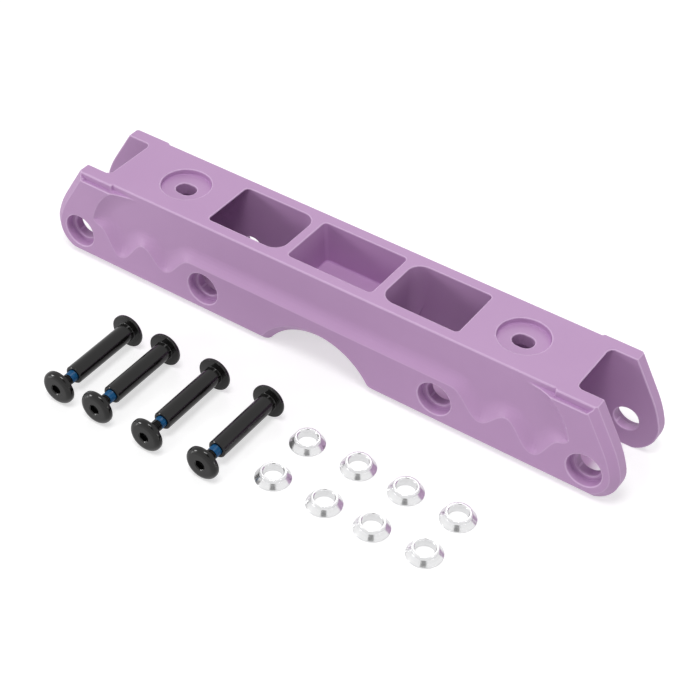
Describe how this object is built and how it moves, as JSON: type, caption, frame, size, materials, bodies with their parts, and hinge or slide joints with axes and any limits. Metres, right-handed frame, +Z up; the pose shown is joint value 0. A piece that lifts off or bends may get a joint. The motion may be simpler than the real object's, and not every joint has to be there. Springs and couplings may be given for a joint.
{
  "type": "inline skate frame",
  "caption": "Moulded inline skate frame with deck windows, grind arch and wheel channel, laid out with its two-piece axles and bearing spacers.",
  "frame": {"origin": "on the floor, midway along the frame and midway between the frame's back wall and the frontmost axle head", "axes": "+X along the frame, +Y from the loose axles towards the frame, +Z up from the floor to the deck"},
  "size_m": [0.284, 0.127, 0.0452],
  "materials": {
    "lilac_nylon": "matt injection-moulded glass-filled nylon",
    "black_steel": "black oxide with a satin sheen",
    "blue_patch": "dry thread-locking compound",
    "turned_aluminium": "bright fine-turned"
  },
  "bodies": {
    "frame_and_spacers": {"frame": "lilac_nylon", "spacer_1": "turned_aluminium", "spacer_2": "turned_aluminium", "spacer_3": "turned_aluminium", "spacer_4": "turned_aluminium", "spacer_5": "turned_aluminium", "spacer_6": "turned_aluminium", "spacer_7": "turned_aluminium", "spacer_8": "turned_aluminium"},
    "sleeve_1": {"axle_sleeve_1": "black_steel"},
    "bolt_1": {"axle_bolt_1": "black_steel", "thread_patch_1": "blue_patch"},
    "sleeve_2": {"axle_sleeve_2": "black_steel"},
    "bolt_2": {"axle_bolt_2": "black_steel", "thread_patch_2": "blue_patch"},
    "sleeve_3": {"axle_sleeve_3": "black_steel"},
    "bolt_3": {"axle_bolt_3": "black_steel", "thread_patch_3": "blue_patch"},
    "sleeve_4": {"axle_sleeve_4": "black_steel"},
    "bolt_4": {"axle_bolt_4": "black_steel", "thread_patch_4": "blue_patch"}
  },
  "joints": [
    {"name": "bolt_1_turn", "type": "hinge", "parent": "frame_and_spacers", "child": "bolt_1", "pos_m": [-0.0717, -0.04905, 0.0075], "axis": [0, 1, 0], "range_deg": [-2160, 3600]},
    {"name": "sleeve_1_travel", "type": "slide", "parent": "frame_and_spacers", "child": "sleeve_1", "axis": [0, -1, 0], "range_m": [-0.0048, 0.008]},
    {"name": "bolt_2_turn", "type": "hinge", "parent": "frame_and_spacers", "child": "bolt_2", "pos_m": [-0.0516, -0.04905, 0.0075], "axis": [0, 1, 0], "range_deg": [-2160, 3600]},
    {"name": "sleeve_2_travel", "type": "slide", "parent": "frame_and_spacers", "child": "sleeve_2", "axis": [0, -1, 0], "range_m": [-0.0048, 0.008]},
    {"name": "bolt_3_turn", "type": "hinge", "parent": "frame_and_spacers", "child": "bolt_3", "pos_m": [-0.0256, -0.04905, 0.0075], "axis": [0, 1, 0], "range_deg": [-1800, 3870]},
    {"name": "sleeve_3_travel", "type": "slide", "parent": "frame_and_spacers", "child": "sleeve_3", "axis": [0, -1, 0], "range_m": [-0.004, 0.0086]},
    {"name": "bolt_4_turn", "type": "hinge", "parent": "frame_and_spacers", "child": "bolt_4", "pos_m": [0.0018, -0.04905, 0.0075], "axis": [0, 1, 0], "range_deg": [-2160, 3600]},
    {"name": "sleeve_4_travel", "type": "slide", "parent": "frame_and_spacers", "child": "sleeve_4", "axis": [0, -1, 0], "range_m": [-0.0048, 0.008]}
  ],
  "couplings": [
    {"joint": "bolt_1_turn", "follows": "sleeve_1_travel", "rad_per_m": 7854},
    {"joint": "bolt_2_turn", "follows": "sleeve_2_travel", "rad_per_m": 7854},
    {"joint": "bolt_3_turn", "follows": "sleeve_3_travel", "rad_per_m": 7854},
    {"joint": "bolt_4_turn", "follows": "sleeve_4_travel", "rad_per_m": 7854}
  ]
}
